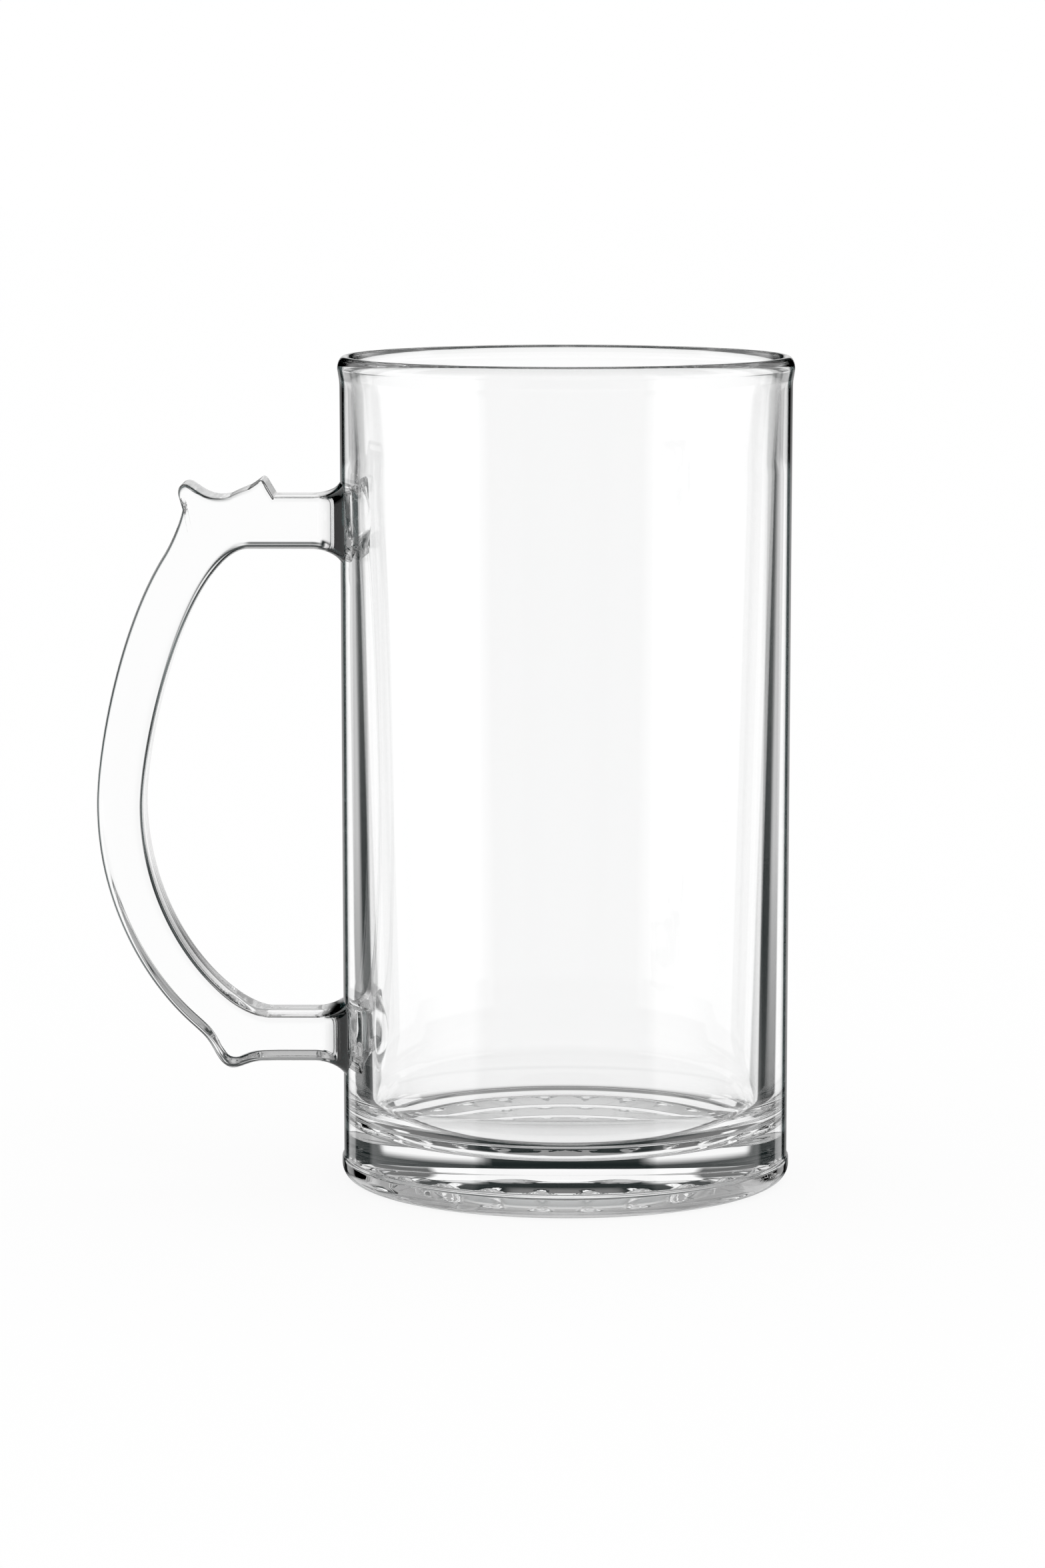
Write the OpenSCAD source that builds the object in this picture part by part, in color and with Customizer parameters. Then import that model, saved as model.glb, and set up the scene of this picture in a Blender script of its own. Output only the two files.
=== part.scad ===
// Clear glass beer mug: a straight bowl with a thick fluted base, and a solid D handle with
// a thumb rest. A flared collar of fused glass welds each end of the handle to the wall.
// The origin is on the bowl's axis, at the table, and the handle points along -X.

/* [Bowl] */
// Height of the rim above the table
bowl_h = 155.5; // [140:0.5:180]
// Outer radius of the wall where it leaves the foot band
wall_foot_r = 42; // [38:0.1:48]
// Outer radius of the wall just under the rim bead
wall_top_r = 42.3; // [38:0.1:48]
// Thickness of the wall where it meets the floor's round heel
wall_foot_t = 5.5; // [4:0.1:7]
// Thickness of the wall where its inside starts to open toward the rim
wall_shoulder_t = 3.1; // [2.4:0.1:5]
// Thickness of the wall just under the rim bead
wall_lip_t = 2.2; // [1.6:0.1:3]
// Depth below the rim at which the inside starts to open
shoulder_depth = 20; // [12:0.5:30]
// Height of the floor above the table
floor_h = 9.3; // [7:0.1:14]
// Radius of the round heel between floor and wall
heel_r = 8.5; // [3:0.1:14]

/* [Rim bead] */
// Height of the bead
bead_h = 5; // [3.5:0.1:7]
// Height of the bead's round crown
crown_h = 2.4; // [1:0.1:3]
// How far the bead stands out from the wall
bead_out = 0.4; // [0.1:0.05:1]
// Distance from the bead's outer face in to its crest
crest_in = 1.4; // [0.6:0.1:1.8]
// How far the bead's inner face lies outside the wall's inner face
lip_open = 0.3; // [0:0.05:0.6]

/* [Foot] */
// How far the foot band stands out from the wall
foot_out = 0.35; // [0.1:0.05:1]
// Height of the foot band
foot_h = 4.2; // [3.2:0.1:6]
// Height of the slope from the foot band in to the wall
foot_step_h = 0.5; // [0.2:0.1:1.5]
// Radius of the round edge under the foot band
foot_edge_r = 2.9; // [1:0.1:3.1]
// Width of the flat ring that the mug stands on
bearing_w = 2; // [1.5:0.1:5]

/* [Underside] */
// Height of the hollow's edge above the table
recess_h = 3.4; // [2:0.1:4.5]
// Run of the slope from the bearing ring up to the hollow's edge
recess_run = 2.5; // [1:0.1:4]
// How far the hollow's ceiling rises from its edge to its middle
dome_h = 1.1; // [0.4:0.1:2]
// Number of radial flutes near the hollow's edge
flute_n = 24; // [16:1:26]
// Length of a flute, measured level
flute_run = 2.3; // [1.5:0.1:8]
// Width of a flute at its outer end
flute_w = 4.5; // [3:0.1:7.4]
// Depth of a flute at its outer end
flute_d = 0.8; // [0.4:0.1:1.5]
// Land between a flute's end and the hollow's edge
flute_land = 1.2; // [0.5:0.1:2]

/* [Weld collars] */
// Length of a collar from the wall to the plain bar
collar_l = 5.4; // [3:0.1:9]
// How far a collar spreads above and below the bar
collar_spread_h = 3.7; // [1.5:0.1:6]
// How far a collar spreads to each side of the bar
collar_spread_w = 3; // [1.5:0.1:6]
// Radius of the pad that the upper weld leaves on the inside of the wall
upper_pad_r = 6.6; // [4:0.1:8]
// Bulge of the upper pad
upper_pad_bulge = 1.9; // [0.5:0.1:2.5]
// Radius of the pad that the lower weld leaves on the inside of the wall
lower_pad_r = 7.1; // [4:0.1:8]
// Bulge of the lower pad
lower_pad_bulge = 2.4; // [0.5:0.1:2.8]

/* [Handle] */
// Height of the middle of the upper arm
upper_arm_z = 124.6; // [110:0.1:128]
// Height of the middle of the lower arm
lower_arm_z = 27.3; // [22:0.1:40]
// Thickness of the upper arm
upper_arm_t = 9.7; // [7:0.1:13]
// Thickness of the grip at its widest point
grip_t = 8.7; // [7:0.1:13]
// Thickness of the lower arm
lower_arm_t = 8.6; // [7:0.1:13]
// Width of the bar
bar_w = 15; // [10:0.1:18]
// Distance from the bowl's axis to the outer face of the grip
reach = 88; // [84:0.1:100]
// Height of the grip's widest point
grip_z = 71.3; // [60:0.1:80]
// Straight length of the upper arm, from the wall to the bend
upper_arm_l = 16.9; // [15:0.1:22]
// Straight length of the lower arm, from the wall to the bend
lower_arm_l = 13.5; // [11:0.1:18]
// Pull of the upper bend along the arm
upper_bend_pull = 15.5; // [11:0.1:18]
// Pull of the grip upward from its widest point
grip_rise = 13.6; // [10:0.1:25]
// Pull of the grip downward from its widest point
grip_drop = 25.3; // [18:0.1:30]
// Pull of the lower bend along the arm
lower_bend_pull = 10.4; // [9:0.1:15]

/* [Thumb rest] */
// Height of the ridge across the upper arm
ridge_h = 3.2; // [1:0.1:5]
// Distance from the upper bend back to the ridge
ridge_back = 2.6; // [2:0.1:5]
// Length of the ridge's long side, down into the scoop
ridge_long_l = 8; // [5:0.1:10]
// Length of the ridge's steep side
ridge_steep_l = 2.1; // [1.5:0.1:4]
// Radius of the horn's round bead at the bend
horn_r = 1.4; // [1:0.1:2.5]
// Distance from the upper bend out to the middle of the bead
horn_out = 11.7; // [10:0.1:14]
// Height of the middle of the bead above the middle of the upper arm
horn_up = 5.9; // [5:0.1:8]
// Pull of the scoop along its bottom
scoop_pull = 4.2; // [2:0.1:5]
// Pull of the scoop where it climbs onto the bead
lift_pull = 1.3; // [0.5:0.1:3]
// Pull of the neck where it leaves the bead
neck_pull = 1.3; // [0.5:0.1:2.5]
// Pull of the neck where it runs into the grip
grip_pull = 4.7; // [2:0.1:7]

/* [Lower bend] */
// Height of the spur under the lower bend
spur_h = 3.1; // [0.5:0.1:4]
// Distance along the bar from the spur to the lower arm's bend
spur_back = 5.2; // [3:0.1:8]
// Length over which the spur fades up the grip
spur_long_l = 2.5; // [1.5:0.1:4]
// Length over which the spur fades along the arm
spur_short_l = 1.7; // [1:0.1:3]

/* [Hidden] */
$fn = 96;
GLASS = [0.84, 0.92, 0.91, 0.5];
// Length by which a cut starts outside what it cuts
overrun = 3;
// Depth by which a collar's outline passes into the wall before it is trimmed
weld_sink = 0.3;
// Roundness of the ridge at its tip, as a part of its height
crest_round_share = 0.42;
// Exponents of its sides: over 1 a side is hollow, and at 1 straight
ridge_long_power = 2;
ridge_steep_power = 1;
// Angles on the bead at which the scoop arrives and the neck leaves
bead_from = 65;
bead_to = 240;
// Parts of the upper curve at which the scoop starts and the neck ends
horn_start_share = 0.05;
horn_end_share = 0.3;
// Parts of the way from there to there at which the bead starts and ends
bead_start_share = 0.35;
bead_end_share = 0.8;
// Exponent of the bar's rounded section: 2 is an ellipse, and more is squarer
section_power = 10;
// Corners of the bar's section, and steps along each stretch of the handle and its collars
section_n = 28;
arc_n = 10;
collar_n = 8;
arm_n = 24;
bend_n = 8;
horn_n = 30;
grip_n = 34;
lower_n = 34;

foot_r = wall_foot_r + foot_out;
foot_top_z = foot_h + foot_step_h;
bearing_out_r = foot_r - foot_edge_r;
bearing_in_r = bearing_out_r - bearing_w;
recess_r = bearing_in_r - recess_run;
dome_r = (recess_r * recess_r + dome_h * dome_h) / (2 * dome_h);
dome_c = [0, recess_h + dome_h - dome_r];
bead_z = bowl_h - bead_h;
crown_z = bowl_h - crown_h;
bead_r = wall_top_r + bead_out;
crest_r = bead_r - crest_in;
inner_lip_r = wall_top_r - wall_lip_t;
shoulder_z = bowl_h - shoulder_depth;
heel_z = floor_h + heel_r;

// Outer radius of the wall at height z
function wall_r(z) =
    wall_foot_r + (wall_top_r - wall_foot_r) * (z - foot_top_z) / (bead_z - foot_top_z);

inner_heel_r = wall_r(heel_z) - wall_foot_t;
inner_shoulder_r = wall_r(shoulder_z) - wall_shoulder_t;

// Inner radius of the wall at height z, between the heel and the shoulder
function inner_r(z) =
    inner_heel_r + (inner_shoulder_r - inner_heel_r) * (z - heel_z) / (shoulder_z - heel_z);

// Points of an elliptical arc about c, from one angle to another
function arc(c, rx, rz, from, to) =
    [for (i = [0:arc_n]) c + [rx * cos(from + (to - from) * i / arc_n),
                              rz * sin(from + (to - from) * i / arc_n)]];

// A list without its first item
function rest(list) = [for (i = [1:len(list) - 1]) list[i]];

// Half outline of the bowl, from the middle of its underside round to the middle of its floor
bowl_outline = concat(
    arc(dome_c, dome_r, dome_r, 90, acos(recess_r / dome_r)),
    [[bearing_in_r, 0]],
    arc([bearing_out_r, foot_edge_r], foot_edge_r, foot_edge_r, -90, 0),
    [[foot_r, foot_h], [wall_foot_r, foot_top_z], [wall_top_r, bead_z]],
    arc([crest_r, crown_z], bead_r - crest_r, crown_h, 0, 90),
    rest(arc([crest_r, crown_z], crest_r - inner_lip_r - lip_open, crown_h, 90, 180)),
    [[inner_lip_r, bead_z], [inner_shoulder_r, shoulder_z]],
    arc([inner_heel_r - heel_r, heel_z], heel_r, heel_r, 0, -90),
    [[0, floor_h]]
);

// One flute: a round groove that starts at the hollow's ceiling and climbs outward
flute_r = (flute_w * flute_w / 4 + flute_d * flute_d) / (2 * flute_d);
flute_start_r = recess_r - flute_land - flute_run;
flute_start_z = dome_c[1] + sqrt(dome_r * dome_r - flute_start_r * flute_start_r);
flute_l = norm([flute_run, flute_d]);

module flute() {
    translate([flute_start_r, 0, flute_start_z])
        rotate([0, -atan2(flute_d, flute_run), 0])
            translate([-overrun, 0, -flute_r])
                rotate([0, 90, 0])
                    cylinder(h = overrun + flute_l, r = flute_r);
}

// Domed pad inside the wall behind a weld, rooted in the middle of the wall's thickness
module weld_pad(z, pad_r, bulge) {
    ball_r = (pad_r * pad_r + bulge * bulge) / (2 * bulge);
    intersection() {
        translate([bulge - ball_r - inner_r(z), 0, z]) sphere(r = ball_r);
        cylinder(h = bowl_h, r = (inner_r(z) + wall_r(z)) / 2);
    }
}

module bowl() {
    color(GLASS)
        difference() {
            union() {
                rotate_extrude() polygon(bowl_outline);
                weld_pad(upper_arm_z, upper_pad_r, upper_pad_bulge);
                weld_pad(lower_arm_z, lower_pad_r, lower_pad_bulge);
            }
            for (i = [0:flute_n - 1]) rotate(360 * (i + 1 / 2) / flute_n) flute();
        }
}

// Solid filled out to the bowl's outer wall, which trims the collars
module wall_envelope() {
    rotate_extrude()
        polygon([[0, foot_top_z], [wall_foot_r, foot_top_z], [wall_top_r, bead_z], [0, bead_z]]);
}

// A number raised to a power, with its sign kept
function signed_pow(v, p) = sign(v) * pow(abs(v), p);

// Rounded section of the bar: sideways places, and parts of the depth from -1 to 1
function section(half_w) =
    [for (i = [0:section_n - 1]) let (a = 360 * i / section_n)
        [half_w * signed_pow(cos(a), 2 / section_power), signed_pow(sin(a), 2 / section_power)]];

// Side faces between rings of section_n points each
function ring_faces(rings) =
    [for (i = [0:rings - 2], j = [0:section_n - 1])
        let (a = i * section_n + j, b = i * section_n + (j + 1) % section_n)
        each [[a, b, b + section_n], [a, b + section_n, a + section_n]]];

function first_cap() = [for (j = [section_n - 1:-1:0]) j];
function last_cap(rings) = [for (j = [0:section_n - 1]) (rings - 1) * section_n + j];

// Collar between the wall and the end of an arm. Its rings follow the wall's curve at the
// wall and are flat at the bar, and its side is a concave quarter round.
module weld_collar(z, arm_t) {
    r = wall_r(z);
    root = [for (k = [collar_n:-1:0]) let (turn = 90 * k / collar_n) [sin(turn), 1 - cos(turn)]];
    points = [for (step = root)
        let (half_w = bar_w / 2 + collar_spread_w * step[1],
             half_h = arm_t / 2 + collar_spread_h * step[1])
        for (p = section(half_w))
            let (sag = r - sqrt(r * r - p[0] * p[0]))
            [(collar_l + sag + weld_sink) * step[0] - r - collar_l, p[0], z + half_h * p[1]]];
    middle = [[collar_spread_w - r, 0, z]];
    fan = [for (j = [0:section_n - 1]) [(j + 1) % section_n, j, len(points)]];
    faces = concat(fan, ring_faces(collar_n + 1), [last_cap(collar_n + 1)]);
    difference() {
        polyhedron(concat(points, middle), faces);
        wall_envelope();
    }
}

module upper_weld_collar() {
    color(GLASS) weld_collar(upper_arm_z, upper_arm_t);
}

module lower_weld_collar() {
    color(GLASS) weld_collar(lower_arm_z, lower_arm_t);
}

// Place on a cubic curve through four points
function bezier(p, t) =
    pow(1 - t, 3) * p[0] + 3 * t * pow(1 - t, 2) * p[1] + 3 * t * t * (1 - t) * p[2] + pow(t, 3) * p[3];

// Direction of travel along that curve, as a unit vector
function bezier_way(p, t) =
    let (d = pow(1 - t, 2) * (p[1] - p[0]) + 2 * t * (1 - t) * (p[2] - p[1]) + t * t * (p[3] - p[2]))
    d / norm(d);

// The bar's middle line in the X, Z plane: upper arm, two cubic curves, lower arm
upper_end = [-wall_r(upper_arm_z) - collar_l, upper_arm_z];
lower_end = [-wall_r(lower_arm_z) - collar_l, lower_arm_z];
upper_bend = [-wall_r(upper_arm_z) - upper_arm_l, upper_arm_z];
lower_bend = [-wall_r(lower_arm_z) - lower_arm_l, lower_arm_z];
grip_point = [grip_t / 2 - reach, grip_z];
upper_curve = [upper_bend, upper_bend - [upper_bend_pull, 0], grip_point + [0, grip_rise], grip_point];
lower_curve = [grip_point, grip_point - [0, grip_drop], lower_bend - [lower_bend_pull, 0], lower_bend];

// Places on the upper curve from one part of it to another, n steps with the last left out
function upper_stations(from, to, n) =
    [for (i = [0:n - 1]) let (t = from + (to - from) * i / n)
        [bezier(upper_curve, t), bezier_way(upper_curve, t)]];

// Stations along the line, each a place and a direction, closer together at the horn
stations = concat(
    [for (i = [0:arm_n - 1]) [upper_end + (upper_bend - upper_end) * i / arm_n, [-1, 0]]],
    upper_stations(0, horn_start_share, bend_n),
    upper_stations(horn_start_share, horn_end_share, horn_n),
    upper_stations(horn_end_share, 1, grip_n),
    [for (i = [0:lower_n]) [bezier(lower_curve, i / lower_n), bezier_way(lower_curve, i / lower_n)]],
    [[lower_end, [1, 0]]]
);
horn_first = arm_n + bend_n;
horn_last = horn_first + horn_n;
grip_first = horn_last + grip_n;
station_n = len(stations);
runs = [for (i = 0, s = 0; i < station_n;
             s = s + (i + 1 < station_n ? norm(stations[i + 1][0] - stations[i][0]) : 0), i = i + 1) s];
upper_bend_run = runs[arm_n];
grip_run = runs[grip_first];
lower_bend_run = runs[grip_first + lower_n];

// Half thickness of the plain bar at a run s along it
function half_t(s) = lookup(s, [
    [upper_bend_run, upper_arm_t / 2], [grip_run, grip_t / 2], [lower_bend_run, lower_arm_t / 2]]);

// Smaller of two values, with the corner between them rounded
function soft_min(a, b, round) = min(a, b) - pow(max(0, round - abs(a - b)), 2) / (4 * round);

// Rise of a crest, as a part of its height, at a distance d from its tip, counted along the
// long side. Each side has a length and an exponent.
function crest(d, long_l, long_power, steep_l, steep_power) =
    max(0, soft_min(pow(max(0, 1 - d / long_l), long_power), pow(max(0, 1 + d / steep_l), steep_power),
                    crest_round_share)) / (1 - crest_round_share / 4);

// Rise of the spur, as a part of its height, at a signed distance d from its tip
function spur(d) = exp(-pow(d / (d < 0 ? spur_long_l : spur_short_l), 2) / 2);

// Direction from the middle line out of the D at station i
function outward(i) = [stations[i][1][1], -stations[i][1][0]];

// Place on the bar's outer edge at station i, with the ridge and the spur but no horn
function smooth_edge(i) =
    let (s = runs[i],
         ridged = crest(s - upper_bend_run + ridge_back,
                        ridge_long_l, ridge_long_power, ridge_steep_l, ridge_steep_power),
         spurred = spur(s - lower_bend_run + spur_back))
    stations[i][0] + outward(i) * (half_t(s) + ridge_h * ridged + spur_h * spurred);

// The horn's outline: the scoop climbs onto a round bead, and a neck leads back to the grip
bead = upper_bend + [-horn_out, horn_up];
function bead_at(a) = bead + horn_r * [cos(a), sin(a)];
function bead_way(a) = [-sin(a), cos(a)];
scoop_start = smooth_edge(horn_first);
neck_end = smooth_edge(horn_last);
scoop_curve = [scoop_start, scoop_start + stations[horn_first][1] * scoop_pull,
               bead_at(bead_from) - bead_way(bead_from) * lift_pull, bead_at(bead_from)];
neck_curve = [bead_at(bead_to), bead_at(bead_to) + bead_way(bead_to) * neck_pull,
              neck_end - stations[horn_last][1] * grip_pull, neck_end];

// Place on the horn's outline at a part u of the way along it
function horn_edge(u) =
    u < bead_start_share ? bezier(scoop_curve, u / bead_start_share)
    : u < bead_end_share
        ? bead_at(bead_from
                  + (bead_to - bead_from) * (u - bead_start_share) / (bead_end_share - bead_start_share))
    : bezier(neck_curve, (u - bead_end_share) / (1 - bead_end_share));

// Points of the bar's ring at station i
function bar_ring(i) =
    let (place = stations[i][0],
         edge = i < horn_first || i > horn_last ? smooth_edge(i) : horn_edge((i - horn_first) / horn_n),
         outer = edge - place, inner = outward(i) * half_t(runs[i]))
    [for (p = section(bar_w / 2)) let (at = place + (p[1] > 0 ? outer : inner) * p[1])
        [at[0], p[0], at[1]]];

module handle() {
    points = [for (i = [0:station_n - 1]) each bar_ring(i)];
    color(GLASS)
        polyhedron(points, concat([first_cap()], ring_faces(station_n), [last_cap(station_n)]));
}

bowl();
upper_weld_collar();
lower_weld_collar();
handle();
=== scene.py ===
"""Clear glass beer mug in a bright-field studio.

Four pieces of glass take the places of the four CAD nodes: the pressed bowl, the two weld
collars and the solid handle bar. Lengths are millimetres until a mesh is made, in metres.
"""

import logging
import math
from dataclasses import dataclass, field
from enum import Enum
from typing import Any, Optional, Sequence, Union

import bpy
import numpy as np
from mathutils import Euler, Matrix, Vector


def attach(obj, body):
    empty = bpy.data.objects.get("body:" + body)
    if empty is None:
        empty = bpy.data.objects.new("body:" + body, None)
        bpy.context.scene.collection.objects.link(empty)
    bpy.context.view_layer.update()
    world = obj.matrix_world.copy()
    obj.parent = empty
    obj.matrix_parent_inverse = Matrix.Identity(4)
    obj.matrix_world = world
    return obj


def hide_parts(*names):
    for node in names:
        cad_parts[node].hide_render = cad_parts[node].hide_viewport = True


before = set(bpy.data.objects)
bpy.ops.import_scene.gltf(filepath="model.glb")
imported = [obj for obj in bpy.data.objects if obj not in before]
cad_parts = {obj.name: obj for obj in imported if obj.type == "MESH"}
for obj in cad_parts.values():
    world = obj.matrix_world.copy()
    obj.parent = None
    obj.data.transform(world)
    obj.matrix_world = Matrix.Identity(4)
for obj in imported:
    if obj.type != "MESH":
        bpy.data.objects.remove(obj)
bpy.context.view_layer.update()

LOG = logging.getLogger("glass_mug")
MM = 0.001
BODY = "root"

Array = np.ndarray
Number = Union[np.ndarray, float]
Colour = tuple[float, float, float, float]
Span = tuple[float, float]
Value = Union["Signal", float, int]

WHITE: Colour = (1.0, 1.0, 1.0, 1.0)

# Socket numbers of a Mix node set to colours, whose socket names repeat for each kind of data.
MIX_SHARE, MIX_PLAIN, MIX_MARKED, MIX_RESULT = 0, 6, 7, 2


class Slot(Enum):
    """Material slots of a glass piece: its skin, faces fused to a neighbour, and its inside."""

    SKIN = 0
    FUSED = 1
    INSIDE = 2


class Signal:
    """One shader socket, with the arithmetic operators that add Math nodes."""

    def __init__(self, graph: "Graph", socket: Optional[bpy.types.NodeSocket]) -> None:
        """Wraps a socket of a graph, or None for a node that has no output."""
        self.graph = graph
        self.socket = socket

    def _math(self, operation: str, first: Value, second: Value) -> "Signal":
        """Adds one Math node.

        Args:
            operation: Name of the Math node's operation.
            first: Left operand.
            second: Right operand.

        Returns:
            The node's result.
        """
        return self.graph.node("ShaderNodeMath", {"operation": operation}, {0: first, 1: second})

    def __sub__(self, other: Value) -> "Signal":
        """Difference."""
        return self._math("SUBTRACT", self, other)

    def __rsub__(self, other: Value) -> "Signal":
        """Difference from a number on the left."""
        return self._math("SUBTRACT", other, self)

    def __mul__(self, other: Value) -> "Signal":
        """Product."""
        return self._math("MULTIPLY", self, other)

    def __rmul__(self, other: Value) -> "Signal":
        """Product with a number on the left."""
        return self._math("MULTIPLY", other, self)

    def __truediv__(self, other: Value) -> "Signal":
        """Quotient."""
        return self._math("DIVIDE", self, other)

    def ramp(self, start: float, end: float) -> "Signal":
        """Share of the way from start to end, held between 0 and 1."""
        return self.graph.node("ShaderNodeClamp", inputs={0: (self - start) / (end - start)})


class Graph:
    """Node tree of one material or world."""

    def __init__(self, owner: Union[bpy.types.Material, bpy.types.World]) -> None:
        """Starts an empty tree on its owner."""
        owner.use_nodes = True
        self.tree = owner.node_tree
        self.tree.nodes.clear()

    def node(
        self,
        kind: str,
        settings: Optional[dict[str, Any]] = None,
        inputs: Optional[dict[Union[str, int], Any]] = None,
        output: Union[str, int] = 0,
    ) -> Signal:
        """Adds any node.

        Args:
            kind: Blender's type name of the node.
            settings: Properties of the node, which are set first.
            inputs: Values or signals of its sockets, by name or number.
            output: The output socket that is wanted, by name or number.

        Returns:
            The wanted output.
        """
        made = self.tree.nodes.new(kind)
        for name, value in (settings or {}).items():
            setattr(made, name, value)
        for key, value in (inputs or {}).items():
            if isinstance(value, Signal):
                self.tree.links.new(value.socket, made.inputs[key])
            else:
                made.inputs[key].default_value = value
        return Signal(self, made.outputs[output] if len(made.outputs) else None)

    def finish(self, kind: str, shader: Signal) -> None:
        """Links a shader to a new output node of the given kind."""
        self.node(kind, inputs={"Surface": shader})


@dataclass(frozen=True)
class Finish:
    """A named finish, whose shader each kind of finish makes in its own way."""

    name: str
    sampling: str = "AUTO"

    def shade(self, graph: Graph) -> Signal:
        """Makes the finish's shader in a material's graph."""
        raise NotImplementedError

    def material(self) -> bpy.types.Material:
        """Builds the finish.

        Returns:
            The new material.
        """
        made = bpy.data.materials.new(self.name)
        graph = Graph(made)
        graph.finish("ShaderNodeOutputMaterial", self.shade(graph))
        made.cycles.emission_sampling = self.sampling
        return made


@dataclass(frozen=True)
class GlassFinish(Finish):
    """Clear pressed glass with faint mould waves, and a painted dark outline: painted shade that darkens
    its colour where the skin is seen at a grazing angle.

    The painted dark edge comes in and goes out over ranges of the grazing share, and over a range
    of x, and holds for light that meets the skin from outside. The ranges that stand here for going
    out and for x limit nothing. A mesh attribute can limit the painted edge further.
    """

    tint: Colour = (0.997, 0.998, 0.998, 1.0)
    # Colour of the painted shade: dark outlines at grazing angles, in place of a dark surround seen in
    # the glass.
    edge: Colour = (0.02, 0.03, 0.03, 1.0)
    painted_shade_in: Span = (0.75, 0.8)
    painted_shade_out: Span = (3.0, 2.0)
    painted_shade_x: Span = (200.0, 100.0)
    painted_shade_mark: str = ""
    plain_blend: float = 0.5
    ior: float = 1.5
    wave_l: tuple[float, float, float] = (9.0, 9.0, 60.0)
    wave_depth: float = 0.004
    detail: float = 2.0

    def shade(self, graph: Graph) -> Signal:
        """Makes the glass: full transmission, a painted dark edge at grazing angles, and waves through a
        Bump node.

        Args:
            graph: Node tree of the material.

        Returns:
            The shader.
        """
        place = graph.node("ShaderNodeTexCoord", output="Object")
        scale = tuple(1.0 / (length * MM) for length in self.wave_l)
        spread = graph.node("ShaderNodeMapping", inputs={"Vector": place, "Scale": scale})
        waves = graph.node(
            "ShaderNodeTexNoise",
            inputs={"Vector": spread, "Scale": 1.0, "Detail": self.detail},
        )
        bump = graph.node(
            "ShaderNodeBump",
            inputs={"Height": waves, "Distance": self.wave_depth * MM, "Strength": 1.0},
        )
        grazing = graph.node("ShaderNodeLayerWeight", inputs={"Blend": self.plain_blend}, output="Facing")
        along = graph.node("ShaderNodeSeparateXYZ", inputs={0: place}) / MM
        outside = 1.0 - graph.node("ShaderNodeNewGeometry", output="Backfacing")
        # Share of painted shade: dark where the skin is seen at a grazing angle from outside.
        share = grazing.ramp(*self.painted_shade_in) * grazing.ramp(*self.painted_shade_out)
        share = share * along.ramp(*self.painted_shade_x) * outside
        if self.painted_shade_mark:
            mark = graph.node("ShaderNodeAttribute", {"attribute_name": self.painted_shade_mark}, output="Fac")
            share = share * mark
        # Base colour with the painted dark outline mixed in.
        colour = graph.node(
            "ShaderNodeMix",
            {"data_type": "RGBA"},
            {MIX_SHARE: share, MIX_PLAIN: self.tint, MIX_MARKED: self.edge},
            MIX_RESULT,
        )
        return graph.node(
            "ShaderNodeBsdfPrincipled",
            inputs={
                "Base Color": colour,
                "Roughness": 0.0,
                "IOR": self.ior,
                "Transmission Weight": 1.0,
                "Normal": bump,
            },
        )


@dataclass(frozen=True)
class FusedFinish(Finish):
    """Faces where two pieces are one glass, which neither bend nor mirror light."""

    name: str = "fused_joint"

    def shade(self, graph: Graph) -> Signal:
        """Makes a shader that is fully open."""
        return graph.node("ShaderNodeBsdfPrincipled", inputs={"Alpha": 0.0, "IOR": 1.0})


@dataclass(frozen=True)
class FloorFinish(Finish):
    """Matte pale floor that the camera sees against the white of the backdrop."""

    name: str = "pale_floor"
    sampling: str = "NONE"
    colour: Colour = (0.985, 0.985, 0.985, 1.0)
    white_share: float = 0.9

    def shade(self, graph: Graph) -> Signal:
        """Mixes white of strength 1 into the matte floor for camera rays, and keeps its shadow.

        Args:
            graph: Node tree of the material.

        Returns:
            The shader.
        """
        seen = graph.node("ShaderNodeLightPath", output="Is Camera Ray")
        matte = graph.node("ShaderNodeBsdfDiffuse", inputs={"Color": self.colour})
        white = graph.node("ShaderNodeEmission", inputs={"Color": WHITE, "Strength": 1.0})
        return graph.node("ShaderNodeMixShader", inputs={0: seen * self.white_share, 1: matte, 2: white})


@dataclass(frozen=True)
class GlowFinish(Finish):
    """Light of a dome, which its mesh carries as a colour attribute."""

    name: str = "dome_light"
    sampling: str = "NONE"
    attribute: str = "light"

    def shade(self, graph: Graph) -> Signal:
        """Shows the attribute as light of strength 1."""
        light = graph.node("ShaderNodeAttribute", {"attribute_name": self.attribute}, output="Color")
        return graph.node("ShaderNodeEmission", inputs={"Color": light, "Strength": 1.0})


def join(*axes: Number) -> Array:
    """Joins coordinates of like shapes into points, or point numbers into faces."""
    return np.stack(np.broadcast_arrays(*axes), axis=-1)


def heading(angle: Array) -> Array:
    """Unit vectors (cos a, sin a) of angles in radians."""
    return join(np.cos(angle), np.sin(angle))


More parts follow.
